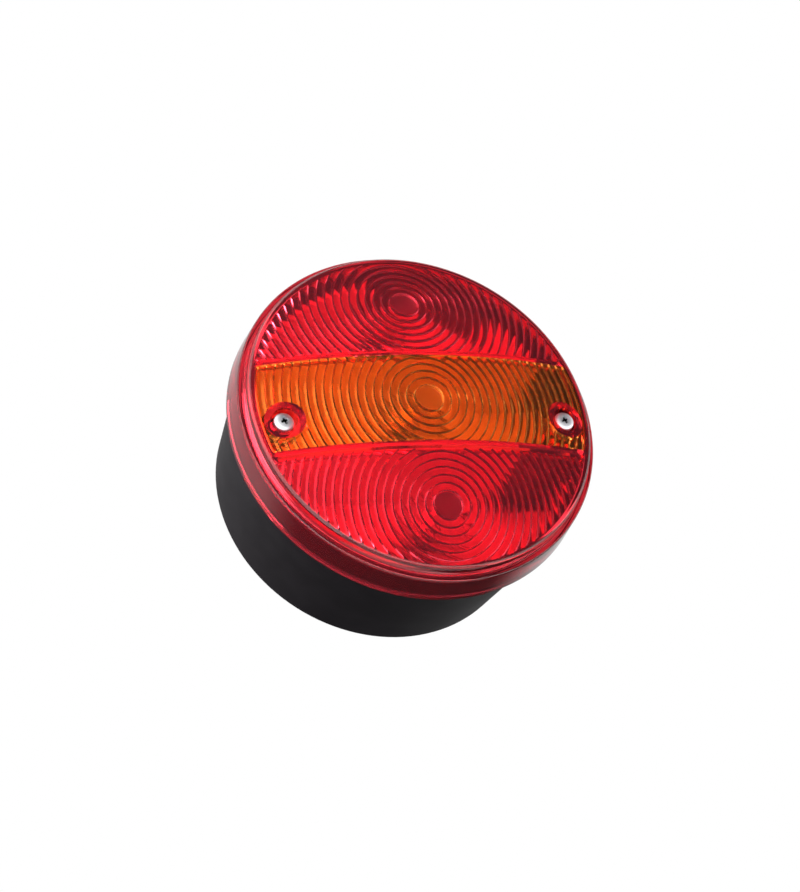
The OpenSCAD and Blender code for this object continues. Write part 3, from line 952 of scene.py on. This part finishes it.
    def red_moulding(self) -> Piece:
        """The whole red moulding."""
        piece = self.rim_ring()
        for bulb in (Bulb.TAIL, Bulb.STOP):
            Bench.combine(piece, self.red_section(bulb), Join.ADD)
        for side in (1, -1):
            Bench.combine(piece, self.rib(side), Join.ADD)
        Bench.smooth(piece, 22.0)
        return piece

    def amber_insert(self) -> Piece:
        """The amber band, with its rings and the holes for the screw wells."""
        piece = self.optics.turned("lens_amber_insert", 0.0)
        for side in (1, -1):
            Bench.slice_level(piece, side * (self.band - self.seam), side)
        self.trimmed_to_rim(piece, self.inner_r - self.seam)
        foot, top = self.well_cut
        for place in self.well_places:
            outline = [(0.0, foot), (self.well_r, foot), (self.well_r, top), (0.0, top)]
            Bench.combine(piece, Bench.turn_about_lamp("well", outline, place, 64, closed=False), Join.CUT)
        Bench.smooth(piece, 22.0)
        return piece

    def build(self, finishes: Finishes) -> None:
        """Make and hand over both mouldings."""
        hand_over(self.red_moulding(), "lens", "red_lens", finishes, "lens_red")
        hand_over(self.amber_insert(), "lens", "amber_lens", finishes, "lens_amber")


@dataclass
class LensScrew:
    """A zinc-plated pan head screw with a cross recess and a cut thread."""

    side: Side
    pitch: float = 1.3
    thread_h: float = 0.45
    thread_half: float = 0.36
    shank_r: float = 1.5
    point_l: float = 3.6
    head_h: float = 2.7
    crown: float = 1.5
    recess_w: float = 4.7
    recess_t: float = 1.35
    recess_d: float = 1.9
    recess_turn: float = 20.0

    def build(self, finishes: Finishes) -> None:
        """Make and hand over the screw."""
        low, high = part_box(f"{self.side.value}_lens_screw")
        place = middle(f"{self.side.value}_lens_screw")
        head_r = (high.x - low.x) / 2 / MM
        top, tip = -low.y / MM, -high.y / MM
        under, edge, start = top - self.head_h, top - self.crown, tip + self.point_l
        outline = [(0.0, tip), (0.25, tip + 0.1), (self.shank_r, start), (self.shank_r, under - 0.5)]
        outline += arc((self.shank_r + 0.5, under - 0.5), 0.5, 180, 90, 4)
        outline += arc((head_r - 0.25, under + 0.25), 0.25, -90, 0, 3)
        angles = [math.radians(10 * i) for i in range(9)]
        outline += [(head_r * math.cos(a), edge + self.crown * math.sin(a)) for a in angles]
        outline += [(0.0, top)]
        piece = Bench.turn_about_lamp(f"{self.side.value}_screw_threaded", outline, place, 64, closed=False)
        for turn in (0.0, 90.0):
            Bench.combine(piece, self.recess_wing(place, top, self.recess_turn + turn), Join.CUT)
        Bench.smooth(piece, 30.0)
        turns = int((under - 1.0 - start) / self.pitch)
        inside, outside = self.shank_r - ROOT, self.shank_r + self.thread_h
        section = [(inside, start - self.thread_half), (outside, start), (inside, start + self.thread_half)]
        thread = Bench.thread(place, section, self.pitch, turns)
        piece = Bench.join([piece, thread])
        hand_over(piece, f"{self.side.value}_screw", "zinc_steel", finishes, f"{self.side.value}_lens_screw")

    def recess_wing(self, place: Pair, top: float, turn: float) -> Piece:
        """One tapered wing of the cross recess, as a tool body.

        Args:
            place: The screw's x and z in millimetres.
            top: Height of the head's top.
            turn: How far the wing is turned about the screw, in degrees.

        Returns:
            The wing.
        """
        centre = Vector((place[0] * MM, -top * MM, place[1] * MM))
        Bench.clear()
        bpy.ops.mesh.primitive_cube_add(size=MM, location=(0.0, 0.0, 0.0))
        wing = bpy.context.object
        bpy.ops.object.mode_set(mode="EDIT")
        bpy.ops.transform.resize(value=(self.recess_w, 2 * self.recess_d, self.recess_t))
        bpy.ops.transform.translate(value=centre)
        bpy.ops.mesh.select_all(action="DESELECT")
        bpy.ops.object.mode_set(mode="OBJECT")
        for vertex in wing.data.vertices:
            vertex.select = vertex.co.y > centre.y
        bpy.ops.object.mode_set(mode="EDIT")
        bpy.ops.transform.resize(value=(0.38, 1.0, 0.6), center_override=centre)
        bpy.ops.mesh.select_all(action="SELECT")
        bpy.ops.transform.rotate(value=math.radians(turn), orient_axis="Y", center_override=centre)
        bpy.ops.mesh.normals_make_consistent(inside=False)
        bpy.ops.object.mode_set(mode="OBJECT")
        return wing


@dataclass
class MountingStuds:
    """Two studs with a plain neck, a head and a metric thread behind the base."""

    radius: float = 3.0
    pitch: float = 1.0
    neck_r: float = 3.25
    head_r: float = 5.2
    head_h: float = 3.2
    seat: float = 4.0
    thread_end: float = -1.4
    thread_half: float = 0.46
    crest_half: float = 0.06

    def build(self, finishes: Finishes) -> None:
        """Make and hand over both studs as one piece."""
        low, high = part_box("mounting_studs")
        half_spacing = (high.x - low.x) / 2 / MM - self.head_r
        tail = -high.y / MM
        core = self.radius - 0.55
        parts = []
        for x in (-half_spacing, half_spacing):
            outline = [(0.0, tail), (core - 0.7, tail), (core, tail + 0.9)]
            outline += [(core, self.thread_end), (self.radius, -0.9)]
            outline += [(self.radius, 0.0), (self.neck_r, 0.0), (self.neck_r, self.seat)]
            outline += [(self.head_r - 0.2, self.seat)]
            outline += [(self.head_r, self.seat + 0.2), (self.head_r, self.seat + self.head_h - 1.0)]
            outline += arc((self.head_r - 1.0, self.seat + self.head_h - 1.0), 1.0, 0, 90)
            outline += [(0.0, self.seat + self.head_h)]
            parts.append(Bench.turn_about_lamp("mounting_studs_threaded", outline, (x, 0.0), 48, closed=False))
            first, inside = tail + 1.0, core - ROOT
            section = [(inside, first - self.thread_half), (self.radius, first - self.crest_half)]
            section += [(self.radius, first + self.crest_half), (inside, first + self.thread_half)]
            turns = int((self.thread_end - first) / self.pitch)
            parts.append(Bench.thread((x, 0.0), section, self.pitch, turns))
        piece = Bench.join(parts)
        Bench.smooth(piece, 30.0)
        hand_over(piece, "base", "zinc_steel", finishes, "mounting_studs")


@dataclass
class Filament:
    """A coiled filament on two bent lead wires."""

    bulb: Bulb
    coil_r: float = 0.42
    wire_r: float = 0.09
    pitch: float = 0.3
    lead_r: float = 0.24
    half_span: float = 3.0
    coil_drop: float = 0.55

    def build(self, finishes: Finishes) -> None:
        """Make and hand over the filament with its leads."""
        low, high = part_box(f"{self.bulb.value}_filament")
        z = middle(f"{self.bulb.value}_filament")[1]
        top = -low.y / MM - self.coil_drop
        foot = -high.y / MM
        centre = Vector((-self.half_span * MM, -top * MM, z * MM))
        section = []
        for i in range(6):
            angle = math.pi * i / 3
            offset = Vector((self.wire_r * math.cos(angle), 0.0, self.coil_r + self.wire_r * math.sin(angle))) * MM
            section.append(centre + offset)
        turns = int(2 * self.half_span / self.pitch)
        parts = [Bench.wind(f"{self.bulb.value}_filament_coiled", section, centre, "X", self.pitch * MM, turns, 12)]
        for side in (-1, 1):
            bends = ((1.0, foot), (1.6, foot + 3.0), (self.half_span, top - 0.6), (self.half_span, top + 0.5))
            parts.append(self.lead([Vector((side * across, -height, z)) * MM for across, height in bends]))
        piece = Bench.join(parts)
        Bench.smooth(piece, 50.0)
        hand_over(piece, f"{self.bulb.value}_bulb", "filament_wire", finishes, f"{self.bulb.value}_filament")

    def lead(self, path: list[Vector]) -> Piece:
        """A lead wire through a path's points, by extruding a small circle."""
        Bench.clear()
        bpy.ops.mesh.primitive_circle_add(vertices=10, radius=self.lead_r * MM, fill_type="NGON", location=(0, 0, 0))
        piece = bpy.context.object
        bpy.ops.object.mode_set(mode="EDIT")
        bpy.ops.transform.rotate(value=math.pi / 2, orient_axis="X", center_override=(0.0, 0.0, 0.0))
        bpy.ops.transform.translate(value=path[0])
        for before, after in zip(path, path[1:]):
            bpy.ops.mesh.extrude_region_move(TRANSFORM_OT_translate={"value": after - before})
        Bench.close_up()
        return piece


class CarriedNodes:
    """Nodes of the frame whose shape stands, each given its finish."""

    def build(self, frame: dict, finishes: Finishes) -> None:
        """Dress every node by its slot in the record."""
        slots = {part["node"]: part["material_slot"] for part in frame["record"]["subparts"]}
        for name, node in frame["nodes"].items():
            finishes.dress(node, slots[name])
            LOG.info("%s: finish %s", name, slots[name])


@dataclass(frozen=True)
class View:
    """Where the camera stands and what it looks at."""

    aim: Point = (-0.00254, -0.045, -0.0035)
    distance: float = 1.229
    heading: float = 24.441
    elevation: float = 27.993
    roll: float = 12.354
    lens: float = 133.12

    def build(self) -> None:
        """Add the camera and make it the scene's."""
        heading, elevation, roll = (math.radians(a) for a in (self.heading, self.elevation, self.roll))
        forward = Vector(
            (math.sin(heading) * math.cos(elevation), math.cos(heading) * math.cos(elevation), math.sin(elevation))
        )
        level = forward.cross(Vector((0.0, 0.0, 1.0))).normalized()
        upright = level.cross(forward)
        up = upright * math.cos(roll) + level * math.sin(roll)
        right = forward.cross(up)
        place = Vector(self.aim) - forward * self.distance
        data = bpy.data.cameras.new("camera")
        data.lens = self.lens
        data.clip_start = 0.05
        camera = bpy.data.objects.new("camera", data)
        bpy.context.collection.objects.link(camera)
        turned = Matrix((right, up, -forward)).transposed().to_4x4()
        camera.matrix_world = Matrix.Translation(place) @ turned
        bpy.context.scene.camera = camera


@dataclass(frozen=True)
class SoftBox:
    """One large soft light that faces the lamp and casts no hard-edged glare of itself."""

    name: str
    place: Point
    width: float
    height: float
    power: float

    def build(self) -> None:
        """Add the light."""
        data = bpy.data.lights.new(self.name, "AREA")
        data.shape = "RECTANGLE"
        data.size = self.width
        data.size_y = self.height
        data.energy = self.power
        light = bpy.data.objects.new(self.name, data)
        bpy.context.collection.objects.link(light)
        light.location = self.place
        light.visible_glossy = False
        aim = Vector((0.0, -0.05, 0.0)) - Vector(self.place)
        light.rotation_euler = aim.to_track_quat("-Z", "Y").to_euler()


class Studio:
    """A pale floor, one soft light and a plain white surround."""

    floor_z: float = -5.0
    front_glow: float = 3.6
    dark_side: Point = (0.365, -0.804, 0.469)
    key = SoftBox("key", (-1.5, -1.4, 0.45), 2.2, 2.2, 262.0)

    def build(self) -> None:
        """Add the floor, the light and the surround."""
        Bench.clear()
        bpy.ops.mesh.primitive_plane_add(size=8.0, location=(0.0, 0.0, 0.0))
        floor = bpy.context.object
        floor.name = "floor"
        bpy.ops.object.mode_set(mode="EDIT")
        bpy.ops.transform.translate(value=(0.0, 0.0, self.floor_z))
        bpy.ops.object.mode_set(mode="OBJECT")
        pale = MouldedPlastic("pale_floor", (0.8, 0.8, 0.8, 1), (0.82, 0.82, 0.82, 1), (0.5, 0.6), 40.0, 0.0001)
        floor.data.materials.append(pale.make())
        self.key.build()
        self.surround()
        bpy.context.scene.view_settings.view_transform = "Standard"

    def surround(self) -> None:
        """White where the camera sees it; round the lamp a broad soft glow with one dark side and a dark foot."""
        world = bpy.data.worlds.new("surround")
        bpy.context.scene.world = world
        world.use_nodes = True
        tree = world.node_tree
        tree.nodes.clear()
        add, link = tree.nodes.new, tree.links.new
        place = add("ShaderNodeTexCoord")

        def ramp(along: Point, span: Pair, values: Pair) -> Node:
            """A strength that changes as the direction turns along a vector.

            Args:
                along: The vector.
                span: The shares of the vector between which the strength changes.
                values: The strength at each end of the span.

            Returns:
                The node that gives the strength.
            """
            dot = add("ShaderNodeVectorMath")
            dot.operation = "DOT_PRODUCT"
            dot.inputs[1].default_value = along
            node = add("ShaderNodeMapRange")
            node.interpolation_type = "SMOOTHSTEP"
            put(node, From_Min=span[0], From_Max=span[1], To_Min=values[0], To_Max=values[1])
            link(place.outputs["Generated"], dot.inputs[0])
            link(dot.outputs["Value"], node.inputs["Value"])
            return node

        front = ramp(self.dark_side, (0.5, 0.8), (self.front_glow, 0.05))
        behind = ramp((0.0, 0.0, 1.0), (-0.35, 0.1), (0.06, 1.0))
        which = ramp((0.0, 1.0, 0.0), (-0.1, 0.15), (0.0, 1.0))
        strength = add("ShaderNodeMix")
        link(which.outputs["Result"], strength.inputs["Factor"])
        link(front.outputs["Result"], strength.inputs[2])
        link(behind.outputs["Result"], strength.inputs[3])
        lighting = add("ShaderNodeBackground")
        link(strength.outputs[0], lighting.inputs["Strength"])
        seen = add("ShaderNodeBackground")
        put(seen, Color=(1.0, 1.0, 1.0, 1.0))
        path = add("ShaderNodeLightPath")
        pick = add("ShaderNodeMixShader")
        link(path.outputs["Is Camera Ray"], pick.inputs["Fac"])
        link(lighting.outputs["Background"], pick.inputs[1])
        link(seen.outputs["Background"], pick.inputs[2])
        link(pick.outputs["Shader"], add("ShaderNodeOutputWorld").inputs["Surface"])


def main() -> None:
    """Build the lamp's looks and the studio round them."""
    logging.basicConfig(level=logging.INFO, format="%(name)s %(message)s")
    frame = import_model()
    View().build()
    finishes = Finishes()
    CarriedNodes().build(frame, finishes)
    LensMouldings().build(finishes)
    for side in Side:
        LensScrew(side).build(finishes)
    MountingStuds().build(finishes)
    for bulb in Bulb:
        Filament(bulb).build(finishes)
    Studio().build()


if __name__ == "__main__":
    main()
